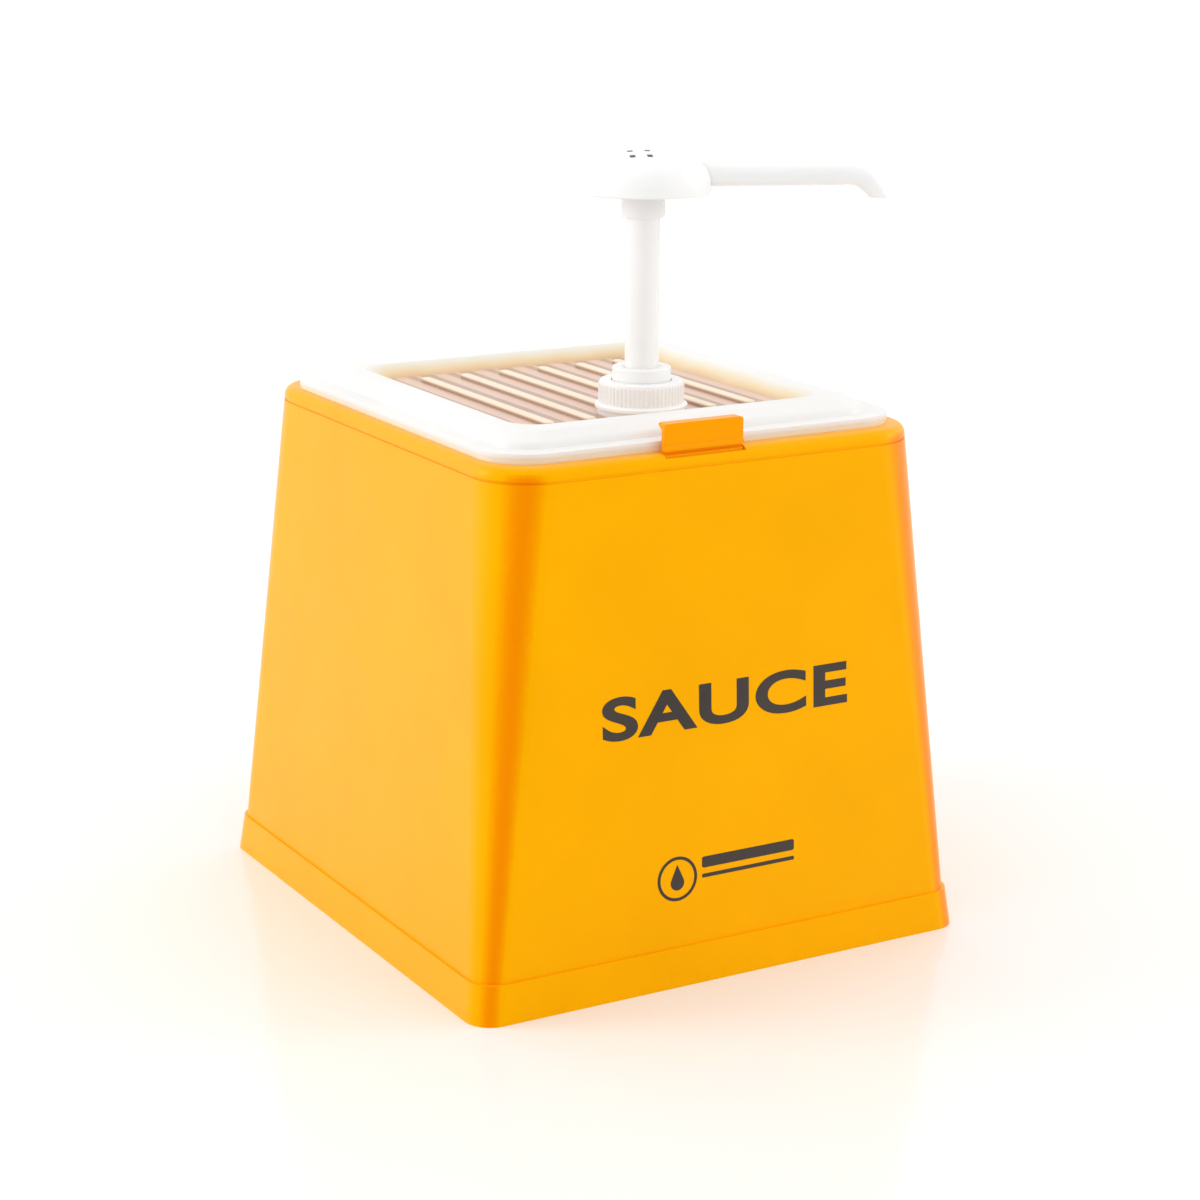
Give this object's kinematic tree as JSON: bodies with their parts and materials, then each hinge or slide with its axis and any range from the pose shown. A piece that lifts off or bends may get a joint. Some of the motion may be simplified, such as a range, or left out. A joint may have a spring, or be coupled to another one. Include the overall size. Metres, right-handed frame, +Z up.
{
  "type": "condiment pump dispenser",
  "caption": "Countertop sauce dispenser: tapered stand, hanging food container with lid, and a push-down plunger pump with a long spout.",
  "frame": {"origin": "centre of the stand's footprint, on the surface it stands on", "axes": "+Z up, -Y towards the front face with the latch, +X to the right seen from the front"},
  "size_m": [0.2008, 0.2124, 0.2825],
  "materials": {
    "stand_plastic": "fine satin injection-moulded polypropylene, warm yellow",
    "latch_plastic": "the same yellow as the stand, slightly deeper",
    "container_plastic": "natural polypropylene",
    "lid_plastic": "white polypropylene, satin",
    "seal_rubber": "soft food-grade elastomer",
    "cap_plastic": "white polypropylene, semi-gloss",
    "pump_plastic": "natural polypropylene",
    "guide_plastic": "white acetal, semi-gloss",
    "tube_plastic": "natural polyethylene",
    "valve_steel": "polished stainless steel",
    "spring_steel": "drawn stainless wire",
    "seal_plastic": "soft polyethylene",
    "stem_plastic": "slightly translucent natural polypropylene",
    "dome_plastic": "white polypropylene, semi-gloss",
    "spout_plastic": "slightly translucent natural polypropylene"
  },
  "bodies": {
    "stand": {"stand_housing": "stand_plastic"},
    "latch": {"rim_latch": "latch_plastic"},
    "container": {"food_container": "container_plastic"},
    "lid": {"container_lid": "lid_plastic"},
    "pump_body": {"pump_cylinder": "pump_plastic", "stem_guide": "guide_plastic", "guide_wiper": "seal_rubber", "dip_tube": "tube_plastic", "inlet_ball_cage": "pump_plastic", "return_spring": "spring_steel", "neck_gasket": "seal_rubber"},
    "cap": {"closure_cap": "cap_plastic"},
    "inlet_valve": {"inlet_ball": "valve_steel"},
    "plunger": {"piston_core": "pump_plastic", "piston_seal": "seal_plastic"},
    "outlet_valve": {"outlet_ball": "valve_steel"},
    "head": {"pump_stem": "stem_plastic", "outlet_ball_stop": "pump_plastic", "head_hub": "stem_plastic", "spout_tube": "spout_plastic", "palm_dome": "dome_plastic"}
  },
  "joints": [
    {"name": "latch_flex", "type": "hinge", "parent": "stand", "child": "latch", "pos_m": [-0.0066, -0.0918, 0.1859], "axis": [1, 0, 0], "range_deg": [0, 15], "stiffness_Nm_per_rad": 0.3},
    {"name": "container_lift", "type": "slide", "parent": "stand", "child": "container", "axis": [0, 0, 1], "range_m": [0, 0.16]},
    {"name": "lid_lift", "type": "slide", "parent": "container", "child": "lid", "axis": [0, 0, 1], "range_m": [0, 0.16]},
    {"name": "pump_lift", "type": "slide", "parent": "lid", "child": "pump_body", "axis": [0, 0, 1], "range_m": [0, 0.16]},
    {"name": "cap_turn", "type": "hinge", "parent": "pump_body", "child": "cap", "pos_m": [0, -0.04, 0.1976], "axis": [0, 0, 1], "continuous": true},
    {"name": "inlet_ball_lift", "type": "slide", "parent": "pump_body", "child": "inlet_valve", "axis": [0, 0, 1], "range_m": [0, 0.0024]},
    {"name": "pump_stroke", "type": "slide", "parent": "pump_body", "child": "plunger", "axis": [0, 0, -1], "range_m": [0, 0.05], "stiffness_N_per_m": 200, "springref_m": -0.02, "deforming": ["return_spring"]},
    {"name": "outlet_ball_lift", "type": "slide", "parent": "plunger", "child": "outlet_valve", "axis": [0, 0, 1], "range_m": [0, 0.003]},
    {"name": "head_swivel", "type": "hinge", "parent": "plunger", "child": "head", "pos_m": [0, -0.04, 0.23], "axis": [0, 0, 1], "continuous": true}
  ]
}
